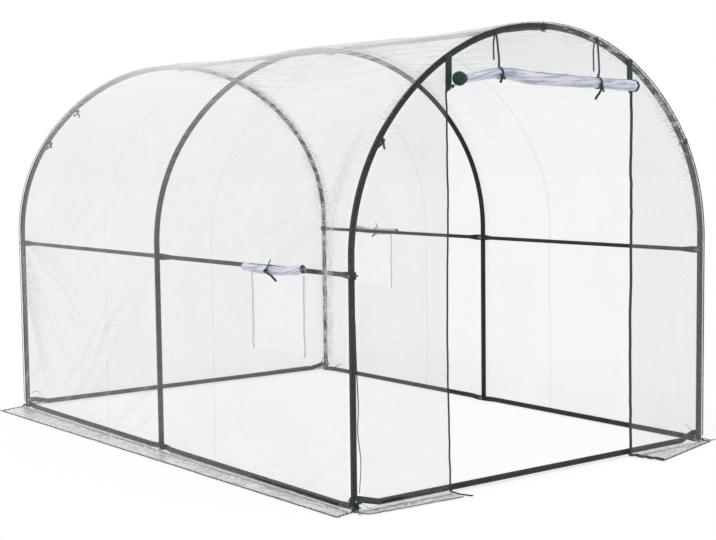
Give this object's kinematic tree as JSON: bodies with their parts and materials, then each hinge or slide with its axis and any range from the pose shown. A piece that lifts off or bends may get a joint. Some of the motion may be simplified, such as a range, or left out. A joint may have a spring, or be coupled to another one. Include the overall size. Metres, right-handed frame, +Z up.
{
  "type": "polytunnel greenhouse",
  "caption": "Walk-in garden polytunnel: tube arches and rails under a clear film cover with a rolled-up door, side windows and ground skirts.",
  "frame": {"origin": "on the ground at the middle of the footprint, skirts and corner ties included", "axes": "+Y runs along the tunnel from the door end to the back, +X to the right of somebody facing the door, +Z up"},
  "size_m": [2.3944, 3.282, 1.8715],
  "materials": {
    "frame": "satin dark grey green powder coat",
    "film": "clear soft film with a gloss and fine wrinkles",
    "rolled_film": "many layers of clear film, rolled, faintly lilac",
    "trim": "woven dark green binding tape"
  },
  "bodies": {
    "root": {"front_left_leg": "frame", "front_right_leg": "frame", "middle_left_leg": "frame", "middle_right_leg": "frame", "back_left_leg": "frame", "back_right_leg": "frame", "front_left_bend": "frame", "front_right_bend": "frame", "middle_left_bend": "frame", "middle_right_bend": "frame", "back_left_bend": "frame", "back_right_bend": "frame", "front_crown": "frame", "middle_crown": "frame", "back_crown": "frame", "front_left_side_rail": "frame", "back_left_side_rail": "frame", "front_right_side_rail": "frame", "back_right_side_rail": "frame", "front_ridge_rail": "frame", "back_ridge_rail": "frame", "front_left_ground_rail": "frame", "back_left_ground_rail": "frame", "front_right_ground_rail": "frame", "back_right_ground_rail": "frame", "front_ground_rail": "frame", "back_ground_rail": "frame", "left_wall_film": "film", "right_wall_film": "film", "front_roof_film": "film", "middle_roof_film": "film", "back_roof_film": "film", "back_end_film": "film", "front_left_end_film": "film", "front_right_end_film": "film", "door_film": "film", "door_roll": "rolled_film", "door_roll_end": "trim", "left_window_roll": "rolled_film", "right_window_roll": "rolled_film", "left_skirt": "film", "right_skirt": "film", "back_skirt": "film", "front_left_skirt": "film", "front_right_skirt": "film", "skirt_hems": "trim", "door_bindings": "trim", "window_bindings": "trim", "front_piping": "trim", "back_piping": "trim", "door_straps": "trim", "window_ties": "trim", "corner_ties": "trim"}
  },
  "joints": []
}
